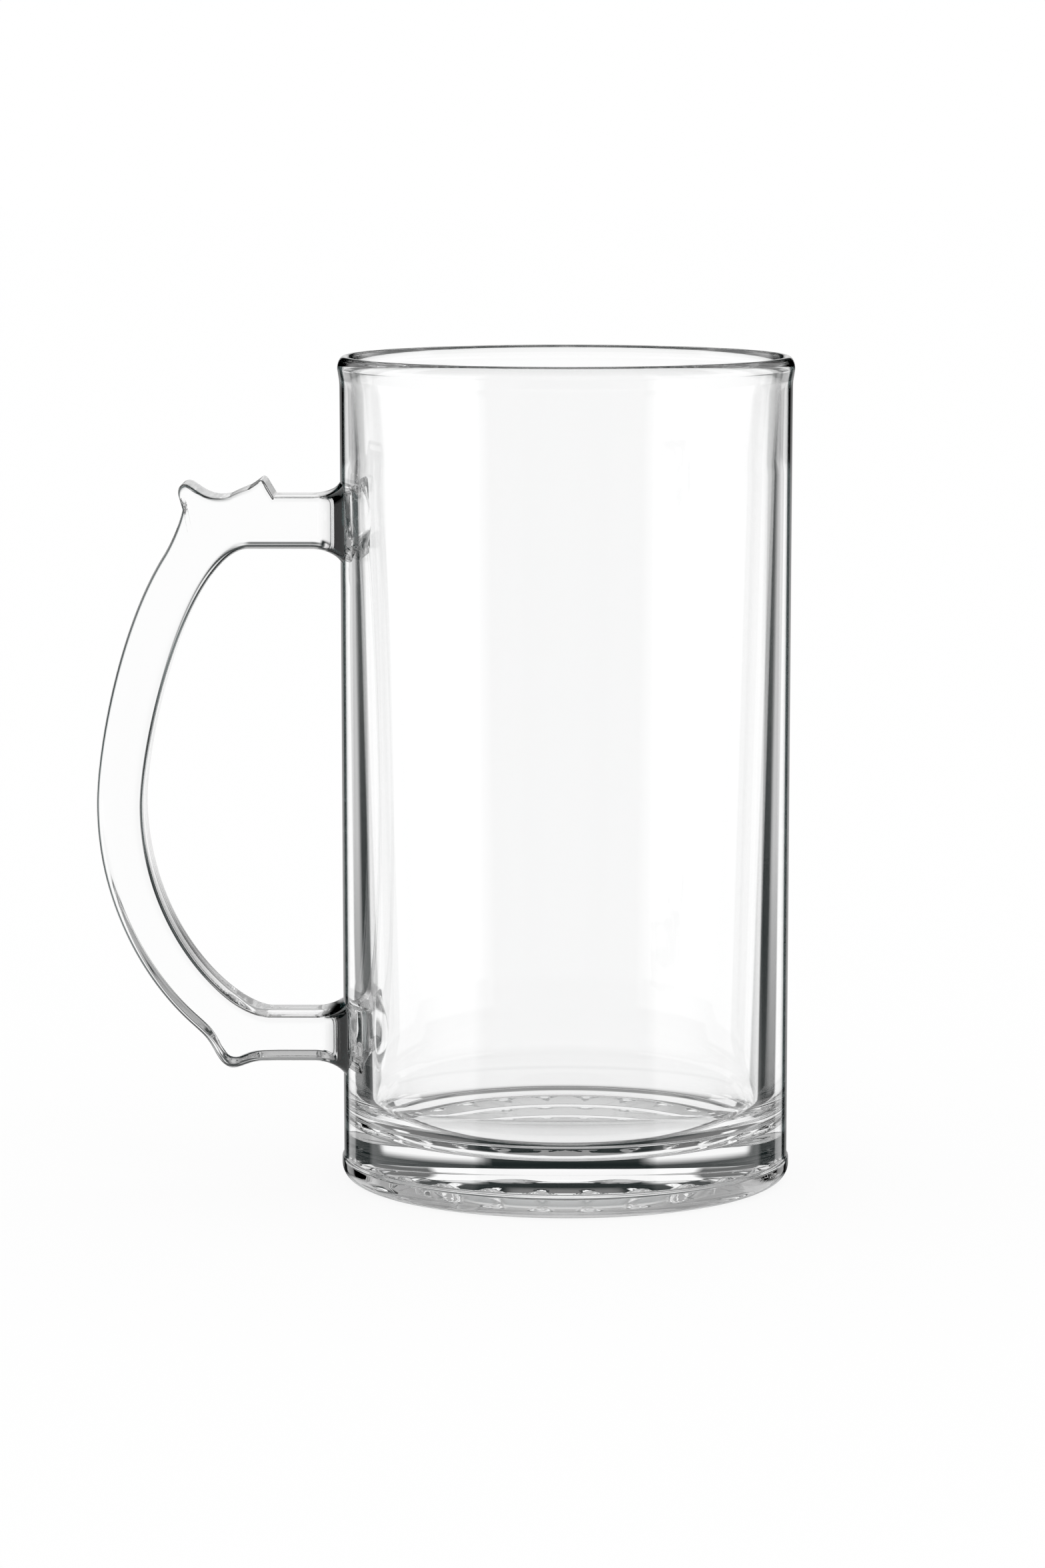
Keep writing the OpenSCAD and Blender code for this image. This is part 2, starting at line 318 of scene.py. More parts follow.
@dataclass
class Skin:
    """Points and faces of one closed piece, gathered part by part."""

    points: list[Array] = field(default_factory=list)
    faces: list[tuple[Array, Slot]] = field(default_factory=list)
    count: int = 0

    def add_points(self, points: Array) -> Array:
        """Adds points in millimetres.

        Args:
            points: Array whose last axis holds x, y and z.

        Returns:
            The points' numbers, in the shape of the array's other axes.
        """
        flat = points.reshape(-1, 3)
        numbers = np.arange(self.count, self.count + len(flat)).reshape(points.shape[:-1])
        self.points.append(flat)
        self.count += len(flat)
        return numbers

    def add_strips(
        self, rows: Array, closed: bool, keep: Optional[Array] = None, slot: Slot = Slot.SKIN
    ) -> None:
        """Adds the quads between neighbouring rows of point numbers.

        Args:
            rows: Point numbers, one row after another.
            closed: Whether each row's end joins its start.
            keep: Mask of the quads to keep, or None for all.
            slot: Material slot of the quads.
        """
        ahead = np.roll(rows, -1, axis=1) if closed else rows[:, 1:]
        here = rows if closed else rows[:, :-1]
        quads = join(here[:-1], ahead[:-1], ahead[1:], here[1:])
        quads = quads.reshape(-1, 4) if keep is None else quads[keep]
        self.faces.append((quads, slot))

    def add_fan(self, ring: Array, pole: int, slot: Slot = Slot.SKIN) -> None:
        """Adds the triangles between a closed ring and a pole that lies ahead of it.

        Args:
            ring: Point numbers of the ring.
            pole: Point number of the pole.
            slot: Material slot of the triangles.
        """
        self.faces.append((join(ring, np.roll(ring, -1), pole), slot))

    def to_object(self, name: str, materials: Sequence[bpy.types.Material]) -> bpy.types.Object:
        """Makes a smooth mesh object at the origin.

        Args:
            name: Name of the piece.
            materials: Materials in the order of the slots.

        Returns:
            The new object, linked to the scene.
        """
        mesh = bpy.data.meshes.new(name)
        points = np.concatenate(self.points) * MM
        loops = np.concatenate([faces.ravel() for faces, _ in self.faces])
        sides = np.concatenate([np.full(len(faces), faces.shape[1]) for faces, _ in self.faces])
        slots = np.concatenate([np.full(len(faces), slot.value) for faces, slot in self.faces])
        mesh.vertices.add(len(points))
        mesh.vertices.foreach_set("co", points.astype(np.float32).ravel())
        mesh.loops.add(len(loops))
        mesh.loops.foreach_set("vertex_index", loops.astype(np.int32))
        mesh.polygons.add(len(sides))
        starts = np.concatenate([[0], np.cumsum(sides)[:-1]])
        mesh.polygons.foreach_set("loop_start", starts.astype(np.int32))
        mesh.polygons.foreach_set("material_index", slots.astype(np.int32))
        mesh.polygons.foreach_set("use_smooth", slots != Slot.FUSED.value)
        for material in materials:
            mesh.materials.append(material)
        mesh.update(calc_edges=True)
        mesh.validate()
        made = bpy.data.objects.new(name, mesh)
        bpy.context.scene.collection.objects.link(made)
        return made


def arc(centre: Span, rx: float, rz: float, start: float, end: float, n: int) -> Array:
    """Points of an elliptical arc: centre plus (rx cos a, rz sin a), a from start to end.

    Args:
        centre: Middle of the ellipse, as radius and height.
        rx: Half width.
        rz: Half height.
        start: First angle in degrees.
        end: Last angle in degrees.
        n: Number of steps.

    Returns:
        n + 1 points.
    """
    angle = np.radians(np.linspace(start, end, n + 1))
    return np.array(centre) + np.array([rx, rz]) * heading(angle)


def rounded(n: int, *corners: tuple[float, float, float]) -> Array:
    """Polyline whose inner corners are replaced by quadratic curves.

    Each inner corner has a cut length c. The curve starts c before the corner, ends c after
    it, and is (1-t)^2 a + 2t(1-t) corner + t^2 b.

    Args:
        n: Steps of each curve.
        corners: Radius, height and cut length of each corner.

    Returns:
        The points of the rounded line.
    """
    table = np.array(corners)
    spots, cuts = table[:, :2], table[:, 2]
    t = np.linspace(0.0, 1.0, n + 1)[:, None]
    parts = [spots[:1]]
    for before, spot, after, cut in zip(spots[:-2], spots[1:-1], spots[2:], cuts[1:-1]):
        a = spot + (before - spot) * cut / np.linalg.norm(before - spot)
        b = spot + (after - spot) * cut / np.linalg.norm(after - spot)
        parts.append((1 - t) ** 2 * a + 2 * t * (1 - t) * spot + t**2 * b)
    parts.append(spots[-1:])
    return np.concatenate(parts)


def superellipse(angle: Array, half_w: float, half_h: float, power: float) -> Array:
    """Points of |y/w|^p + |z/h|^p = 1 in the direction of each angle.

    Args:
        angle: Directions in radians, from the y axis.
        half_w: Half width w.
        half_h: Half height h.
        power: Exponent p.

    Returns:
        Array of y and z.
    """
    way = heading(angle)
    reach = (np.abs(way / np.array([half_w, half_h])) ** power).sum(axis=-1) ** (-1.0 / power)
    return way * reach[..., None]


def section(power: float, corner_n: int, flat_n: int) -> Array:
    """Points of the unit superellipse (cos^(2/p) a, sin^(2/p) a), close at corners and on flats.

    Args:
        power: Exponent p.
        corner_n: Even steps of the angle a in each quarter.
        flat_n: Even steps of each half side, whose angles are added.

    Returns:
        Array of the two places, once round.
    """
    even = np.linspace(0.0, math.pi / 2, corner_n, endpoint=False)
    flat = np.arcsin((np.arange(1, flat_n) / flat_n) ** (power / 2.0))
    quarter = np.sort(np.concatenate([even, flat, math.pi / 2 - flat]))
    turn = np.concatenate([quarter + side * math.pi / 2 for side in range(4)])
    way = heading(turn)
    return np.sign(way) * np.abs(way) ** (2.0 / power)


@dataclass
class Bar:
    """Sizes that the handle and its weld collars share.

    The edge share sets a second ring close to the end of a run, so that the end shades sharply.
    """

    half_w: float = 7.5
    power: float = 10.0
    collar_l: float = 5.4
    spread_h: float = 3.7
    spread_w: float = 3.0
    sink: float = 0.3
    upper_z: float = 124.6
    upper_t: float = 9.7
    lower_z: float = 27.3
    lower_t: float = 8.6
    joint_gap: float = 0.01
    corner_n: int = 18
    flat_n: int = 8
    edge_share: float = 0.0005

    @property
    def last_turn(self) -> float:
        """Angle in radians at which a collar's quarter round meets the wall."""
        return math.asin(self.collar_l / (self.collar_l + self.sink))

    def collar_half(self, thickness: float, turn: Number) -> tuple[Number, Number]:
        """Half width and half height of a collar's ring.

        Args:
            thickness: Thickness of the arm.
            turn: Angle along the collar's quarter round, in radians.

        Returns:
            The two half sizes.
        """
        flare = 1.0 - np.cos(turn)
        return self.half_w + self.spread_w * flare, thickness / 2 + self.spread_h * flare


@dataclass
class Wall:
    """Outer and inner faces of the bowl's wall."""

    foot_r: float = 42.0
    foot_z: float = 4.7
    top_r: float = 42.3
    top_z: float = 150.5
    heel_r: float = 36.53
    heel_z: float = 17.8
    shoulder_r: float = 39.17
    shoulder_z: float = 135.5
    lip_r: float = 40.1

    def outer(self, z: Number) -> Number:
        """Outer radius at height z, on a straight line from foot to top."""
        return self.foot_r + (self.top_r - self.foot_r) * (z - self.foot_z) / (self.top_z - self.foot_z)

    def inner(self, z: Number) -> Number:
        """Inner radius at height z, on straight lines from heel to shoulder to lip."""
        return np.interp(
            z, [self.heel_z, self.shoulder_z, self.top_z], [self.heel_r, self.shoulder_r, self.lip_r]
        )


@dataclass
class Window:
    """Rectangle of the wall's grid that is filled again with rings about a weld."""

    z: float
    half_h: float = 11.5
    steps: int = 24

    def heights(self) -> Array:
        """Heights of the grid's rows across the window, from the bottom up."""
        return np.linspace(self.z - self.half_h, self.z + self.half_h, self.steps + 1)


@dataclass
class Pad:
    """Domed pad inside the wall behind a weld."""

    half_w: float
    half_h: float
    bulge: float
    soft: float = 0.25
    power: float = 2.0

    def rise(self, share: Number) -> Array:
        """Height b(1 - s^2) at a share s of the pad's outline, eased into the wall below zero."""
        plain = self.bulge * (1.0 - share**2)
        return np.where(
            np.abs(plain) < self.soft,
            (plain + self.soft) ** 2 / (4.0 * self.soft),
            np.maximum(plain, 0.0),
        )


@dataclass(frozen=True)
class BowlRows:
    """Rows of the bowl's grid along each stretch of its outline."""

    under: int = 8
    flute: int = 13
    corner: int = 5
    foot_edge: int = 14
    outer_middle: int = 7
    bead_foot: int = 6
    crown_out: int = 16
    crown_in: int = 14
    inner: int = 9
    heel: int = 22
    floor: int = 7


@dataclass
class Bowl:
    """Pressed bowl: foot, wall, rim bead, floor, weld pads and fluted underside.

    A cut is the length that a rounded corner of the outline takes from each of its two sides.
    """

    wall: Wall
    bar: Bar
    rows: BowlRows = BowlRows()
    columns: int = 336
    half_columns: int = 17
    floor_z: float = 9.3
    floor_pole_r: float = 2.0
    heel_arc_r: float = 8.5
    heel_gap: float = 0.3
    foot_r: float = 42.35
    foot_h: float = 4.2
    foot_edge_r: float = 2.9
    foot_rise: float = 0.2
    foot_cut: float = 0.35
    step_rise: float = 0.8
    step_cut: float = 0.28
    bearing_in_r: float = 37.45
    bearing_cut: float = 0.5
    recess_h: float = 3.4
    recess_run: float = 2.5
    recess_land: float = 0.5
    recess_cut: float = 0.4
    dome_h: float = 1.1
    dome_pole_r: float = 3.0
    crown_z: float = 153.1
    crown_h: float = 2.4
    bead_r: float = 42.7
    bead_foot_z: float = 148.6
    bead_cut: float = 0.9
    crest_r: float = 41.3
    bead_in_r: float = 40.4
    lip_foot_z: float = 146.0
    lip_drop: float = 0.1
    lip_cut: float = 0.9
    flute_n: int = 24
    flute_run: float = 2.3
    flute_w: float = 4.5
    flute_d: float = 0.8
    flute_land: float = 1.2
    flute_end_l: float = 0.4
    flute_end_shares: tuple[float, ...] = (0.33, 0.67, 1.0)
    upper_pad: Pad = field(default_factory=lambda: Pad(5.98, 6.6, 1.9))
    lower_pad: Pad = field(default_factory=lambda: Pad(6.35, 7.1, 2.4))
    outer_rings: int = 5
    pad_rings: int = 20

    def windows(self) -> list[Window]:
        """The lower and the upper window of the wall's grid."""
        return [Window(self.bar.lower_z), Window(self.bar.upper_z)]

    @property
    def recess_r(self) -> float:
        """Radius of the edge of the underside's hollow."""
        return self.bearing_in_r - self.recess_run

    @property
    def flute_end_r(self) -> float:
        """Radius at which the flutes end."""
        return self.recess_r - self.flute_land

    @property
    def flute_start_r(self) -> float:
        """Radius at which the flutes start."""
        return self.flute_end_r - self.flute_run

    def ceiling(self, radius: Number) -> Number:
        """Height of the hollow's domed ceiling: its edge plus the dome times 1 - (r / edge)^2."""
        return self.recess_h + self.dome_h * (1.0 - (radius / self.recess_r) ** 2)

    def underside(self, radius: Array, angle: Array) -> Array:
        """Height of the hollow with its flutes.

        Each flute is a round groove that climbs evenly from the ceiling to its end, where it
        stops in a short slope.

        Args:
            radius: Distances from the axis.
            angle: Angles about the axis, in radians.

        Returns:
            The heights.
        """
        pitch = 2.0 * math.pi / self.flute_n
        side = radius * np.sin(((angle / pitch) % 1.0 - 0.5) * pitch)
        groove_r = (self.flute_w**2 / 4 + self.flute_d**2) / (2 * self.flute_d)
        round_off = groove_r - np.sqrt(np.maximum(groove_r**2 - side**2, 0.0))
        climb = self.flute_d * (radius - self.flute_start_r) / self.flute_run
        groove = self.ceiling(self.flute_start_r) + climb - round_off
        plain = self.ceiling(radius)
        stop = np.clip((self.flute_end_r + self.flute_end_l - radius) / self.flute_end_l, 0.0, 1.0)
        return plain + np.maximum(groove - plain, 0.0) * stop

    def profile(self) -> tuple[Array, dict[str, tuple[int, int]]]:
        """Half outline of the bowl, from beside the underside's pole to beside the floor's pole.

        Returns:
            The outline's radius and height at each row, and the span of rows of each stretch.
        """
        wall, rows = self.wall, self.rows
        under_r = np.concatenate([
            np.linspace(self.dome_pole_r, self.flute_start_r, rows.under),
            np.linspace(self.flute_start_r, self.flute_end_r, rows.flute)[1:],
            self.flute_end_r + self.flute_end_l * np.array(self.flute_end_shares),
        ])
        land_r = self.recess_r - self.recess_land
        edge_r = self.foot_r - self.foot_edge_r
        foot = rounded(
            rows.corner,
            (land_r, self.ceiling(land_r), 0.0),
            (self.recess_r, self.recess_h, self.recess_cut),
            (self.bearing_in_r, 0.0, self.bearing_cut),
            (edge_r, 0.0, 0.0),
        )
        bend_r = self.foot_edge_r
        foot_edge = arc((edge_r, bend_r), bend_r, bend_r, -90, 0, rows.foot_edge)
        step = rounded(
            rows.corner,
            (self.foot_r, bend_r + self.foot_rise, 0.0),
            (self.foot_r, self.foot_h, self.foot_cut),
            (wall.foot_r, wall.foot_z, self.step_cut),
            (wall.foot_r, wall.foot_z + self.step_rise, 0.0),
        )
        low, high = (window.heights() for window in self.windows())
        outer_z = np.concatenate([low, np.linspace(low[-1], high[0], rows.outer_middle)[1:-1], high])
        bead_foot = rounded(
            rows.bead_foot,
            (wall.outer(self.bead_foot_z), self.bead_foot_z, 0.0),
            (wall.top_r, wall.top_z, self.bead_cut),
            (self.bead_r, self.crown_z, 0.0),
        )
        crown = (self.crest_r, self.crown_z)
        crown_out = arc(crown, self.bead_r - self.crest_r, self.crown_h, 0, 90, rows.crown_out)
        crown_in = arc(crown, self.crest_r - self.bead_in_r, self.crown_h, 90, 180, rows.crown_in)
        lip = rounded(
            rows.corner,
            (self.bead_in_r, self.crown_z - self.lip_drop, 0.0),
            (wall.lip_r, wall.top_z, self.lip_cut),
            (wall.inner(self.lip_foot_z), self.lip_foot_z, 0.0),
        )
        inner_z = np.concatenate([
            np.linspace(self.lip_foot_z, high[-1], rows.inner)[:-1],
            high[::-1],
            np.linspace(high[0], low[-1], rows.inner)[1:-1],
            low[low > wall.heel_z + self.heel_gap][::-1],
        ])
        heel_r = wall.heel_r - self.heel_arc_r
        floor_r = np.linspace(heel_r, self.floor_pole_r, rows.floor)[1:]
        stretches = {
            "under": join(under_r, self.ceiling(under_r)),
            "foot": foot,
            "foot_edge": foot_edge[1:],
            "step": step,
            "outer": join(wall.outer(outer_z), outer_z),
            "bead_foot": bead_foot[:-1],
            "crown_out": crown_out,
            "crown_in": crown_in[1:],
            "lip": lip[:-1],
            "inner": join(wall.inner(inner_z), inner_z),
            "heel": arc((heel_r, wall.heel_z), self.heel_arc_r, self.heel_arc_r, 0, -90, rows.heel),
            "floor": join(floor_r, self.floor_z),
        }
        stops = np.cumsum([len(points) for points in stretches.values()]).tolist()
        spans = {
            name: (stop - len(points), stop) for (name, points), stop in zip(stretches.items(), stops)
        }
        return np.concatenate(list(stretches.values())), spans

    def build(
        self, finish: GlassFinish, inner_finish: GlassFinish, fused: bpy.types.Material
    ) -> bpy.types.Object:
        """Turns the outline round the axis, presses the flutes in, and fills the windows.

        Args:
            finish: Finish of the glass.
            inner_finish: Finish of the glass inside the bowl.
            fused: Material of the faces under the collars.

        Returns:
            The bowl.
        """
        skin = Skin()
        line, spans = self.profile()
        angle = 2.0 * math.pi * np.arange(self.columns) / self.columns
        radius = line[:, :1]
        z = np.repeat(line[:, 1:], self.columns, axis=1)
        hollow = slice(*spans["under"])
        z[hollow] = self.underside(radius[hollow], angle)
        grid = join(radius * np.cos(angle), radius * np.sin(angle), z)
        rows = skin.add_points(grid)
        keep = np.ones((len(line) - 1, self.columns), dtype=bool)
        mid = self.columns // 2
        left, right = mid - self.half_columns, mid + self.half_columns
        for face, pads in (("outer", (None, None)), ("inner", (self.lower_pad, self.upper_pad))):
            start, stop = spans[face]
            for window, pad in zip(self.windows(), pads):
                off = np.abs(line[start:stop, 1] - window.z)
                found = start + np.flatnonzero(off <= window.half_h + self.bar.joint_gap)
                low, high = int(found[0]), int(found[-1])
                keep[low:high, left:right] = False
                self._fill(skin, grid, rows, (low, high, left, right), window, pad)
        split = spans["lip"][0]
        skin.add_strips(rows[: split + 1], closed=True, keep=keep[:split])
        skin.add_strips(rows[split:], closed=True, keep=keep[split:], slot=Slot.INSIDE)
        under = int(skin.add_points(join(0.0, 0.0, self.ceiling(0.0))))
        floor = int(skin.add_points(join(0.0, 0.0, self.floor_z)))
        skin.add_fan(rows[0][::-1], under)
        skin.add_fan(rows[-1], floor, Slot.INSIDE)
        return skin.to_object("bowl_glass", [finish.material(), fused, inner_finish.material()])

    def _fill(
        self,
        skin: Skin,
        grid: Array,
        rows: Array,
        span: tuple[int, int, int, int],
        window: Window,
        pad: Optional[Pad],
    ) -> None:
        """Fills a window of the grid with rings that close on the weld's middle.

        The rings go from the window's edge to the weld's outline on straight lines in y and z,
        and from there to the middle as smaller copies of the outline.

        Args:
            skin: The bowl's skin.
            grid: Points of the grid.
            rows: Point numbers of the grid.
            span: First and last row, and first and last column, of the window.
            window: The window.
            pad: The pad on the wall's inside, or None on its outside.
        """
        low, high, left, right = span
        row = np.concatenate([
            np.full(right - left, low), np.arange(low, high),
            np.full(right - left, high), np.arange(high, low, -1),
        ])
        column = np.concatenate([
            np.arange(left, right), np.full(high - low, right),
            np.arange(right, left, -1), np.full(high - low, left),
        ])
        edge = grid[row, column]
        flat = join(edge[:, 1], edge[:, 2] - window.z)
        way = np.arctan2(flat[:, 1], flat[:, 0])
        if pad is None:
            thickness = self.bar.upper_t if window.z == self.bar.upper_z else self.bar.lower_t
            half_w, half_h = self.bar.collar_half(thickness, self.bar.last_turn)
            outline = superellipse(way, half_w, half_h, self.bar.power)
            outside = np.linspace(0.0, 1.0, self.outer_rings + 1)[1:]
            inside = np.linspace(1.0, 0.0, self.outer_rings + 1)[1:-1]
        else:
            outline = superellipse(way, pad.half_w, pad.half_h, pad.power)
            outside = 1.0 - np.linspace(1.0, 0.0, self.pad_rings // 2 + 1)[1:] ** 2
            inside = np.linspace(1.0, 0.0, self.pad_rings + 1)[1:-1]
        rings = np.concatenate([
            flat + (outline - flat) * outside[:, None, None], outline * inside[:, None, None],
        ])
        y, z = rings[..., 0], rings[..., 1] + window.z
        wall = self.wall
        if pad is None:
            reach, pole_r = wall.outer(z), wall.outer(window.z)
        else:
            share = np.linalg.norm(rings / np.array([pad.half_w, pad.half_h]), axis=-1)
            reach, pole_r = wall.inner(z) - pad.rise(share), wall.inner(window.z) - pad.rise(0.0)
        numbers = skin.add_points(join(-np.sqrt(reach**2 - y**2), y, z))
        pole = int(skin.add_points(join(-pole_r, 0.0, window.z)))
        whole = np.concatenate([rows[row, column][None], numbers])
        split = len(outside) + 1
        outer_slot, middle_slot = (Slot.SKIN, Slot.FUSED) if pad is None else (Slot.INSIDE, Slot.INSIDE)
        skin.add_strips(whole[:split], closed=True, slot=outer_slot)
        skin.add_strips(whole[split - 1:], closed=True, slot=middle_slot)
        skin.add_fan(whole[-1], pole, middle_slot)


@dataclass
class WeldCollar:
    """Flared collar of fused glass between the wall and one arm of the handle."""

    name: str
    node: str
    wall: Wall
    bar: Bar
    z: float
    thickness: float
    turns: int = 36
    cap_rings: int = 5

    def build(self, finish: GlassFinish, fused: bpy.types.Material) -> bpy.types.Object:
        """Rings grow by 1 - cos(turn) and reach the wall by sin(turn), as a quarter round does.

        Args:
            finish: Finish of the glass.
            fused: Material of the faces on the wall and on the bar.

        Returns:
            The collar.
        """
        bar = self.bar
        skin = Skin()
        ring = section(bar.power, bar.corner_n, bar.flat_n)
        steps = np.linspace(0.0, 1.0, self.turns + 1)
        ends = [bar.edge_share, 1.0 - bar.edge_share]
        turn = bar.last_turn * np.insert(steps, [1, self.turns], ends)[:, None]
        half_w, half_h = bar.collar_half(self.thickness, turn)
        y, z = half_w * ring[:, 0], half_h * ring[:, 1] + self.z
        start = -self.wall.outer(self.z) - bar.collar_l
        wall_x = -np.sqrt(self.wall.outer(z) ** 2 - y**2) - bar.joint_gap
        share = np.sin(turn) / math.sin(bar.last_turn)
        side = skin.add_points(join(start + (wall_x - start) * share, y, z))
        skin.add_strips(side, closed=True)
        shrink = np.linspace(1.0, 0.0, self.cap_rings + 1)[1:-1, None]
        cap_y, cap_z = y[-1] * shrink, (z[-1] - self.z) * shrink + self.z
        cap_x = -np.sqrt(self.wall.outer(cap_z) ** 2 - cap_y**2) - bar.joint_gap
        cap = skin.add_points(join(cap_x, cap_y, cap_z))
        whole = np.concatenate([side[-1:], cap])
        skin.add_strips(whole, closed=True, slot=Slot.FUSED)
        pole_x = np.array([-self.wall.outer(self.z) - bar.joint_gap, start])
        poles = skin.add_points(join(pole_x, 0.0, self.z))
        skin.add_fan(whole[-1], int(poles[0]), Slot.FUSED)
        skin.add_fan(side[0][::-1], int(poles[1]), Slot.FUSED)
        return skin.to_object(self.name, [finish.material(), fused])


@dataclass
class Crest:
    """Ridge across the bar: a long side and a steep side that meet in a rounded tip."""

    height: float = 3.2
    long_l: float = 8.0
    long_power: float = 2.0
    steep_l: float = 2.1
    soft: float = 0.42

    def rise(self, along: Array) -> Array:
        """Rise at a distance from the tip, counted along the long side.

        The smaller of (1 - d/long)^p and 1 + d/steep, with the corner between them eased.

        Args:
            along: Distances d.

        Returns:
            The rise, zero past both sides.
        """
        far = np.maximum(1.0 - along / self.long_l, 0.0) ** self.long_power
        near = np.maximum(1.0 + along / self.steep_l, 0.0)
        eased = np.maximum(self.soft - np.abs(far - near), 0.0) ** 2 / (4.0 * self.soft)
        tip = 1.0 - self.soft / 4.0
        return self.height * np.maximum(np.minimum(far, near) - eased, 0.0) / tip


def cubic(corners: Sequence[Array], t: Array) -> tuple[Array, Array]:
    """Places and unit directions on the cubic curve of four points.

    Args:
        corners: The four points.
        t: Parameters from 0 to 1.

    Returns:
        The places and the directions.
    """
    a, b, c, d = corners
    t = t[:, None]
    s = 1.0 - t
    place = s**3 * a + 3 * t * s**2 * b + 3 * t**2 * s * c + t**3 * d
    way = s**2 * (b - a) + 2 * t * s * (c - b) + t**2 * (d - c)
    return place, way / np.linalg.norm(way, axis=1, keepdims=True)


@dataclass
class Horn:
    """Outer end of the thumb rest: a scoop climbs onto a round bead, and a neck leaves it."""

    radius: float = 1.4
    out: float = 11.7
    up: float = 5.9
    arrive: float = 65.0
    leave: float = 240.0
    scoop_pull: float = 4.2
    lift_pull: float = 1.3
    neck_pull: float = 1.3
    grip_pull: float = 4.7
    start_share: float = 0.05
    end_share: float = 0.30
    bead_start_share: float = 0.35
    bead_end_share: float = 0.80
    steps: int = 120

    def edge(self, bend: Array, edges: Array, ways: Array) -> Array:
        """Outline of the horn: a cubic curve, an arc of the bead and another cubic curve.

        Args:
            bend: The upper bend's place.
            edges: Places on the bar's outer edge where the scoop starts and the neck ends.
            ways: Directions of the bar there.

        Returns:
            One place for each step.
        """
        middle = bend + np.array([-self.out, self.up])
        share = np.arange(self.steps) / self.steps
        bead_shares = [self.bead_start_share, self.bead_end_share]
        scoop = share < self.bead_start_share
        neck = share >= self.bead_end_share
        turn = np.radians(np.interp(share, bead_shares, [self.arrive, self.leave]))
        made = middle + self.radius * heading(turn)
        sides = np.radians([self.arrive, self.leave])
        spots = middle + self.radius * heading(sides)
        tangents = join(-np.sin(sides), np.cos(sides))
        lift = spots[0] - tangents[0] * self.lift_pull
        made[scoop] = cubic(
            [edges[0], edges[0] + ways[0] * self.scoop_pull, lift, spots[0]],
            share[scoop] / self.bead_start_share,
        )[0]
        hold = edges[1] - ways[1] * self.grip_pull
        made[neck] = cubic(
            [spots[1], spots[1] + tangents[1] * self.neck_pull, hold, edges[1]],
            (share[neck] - self.bead_end_share) / (1.0 - self.bead_end_share),
        )[0]
        return made


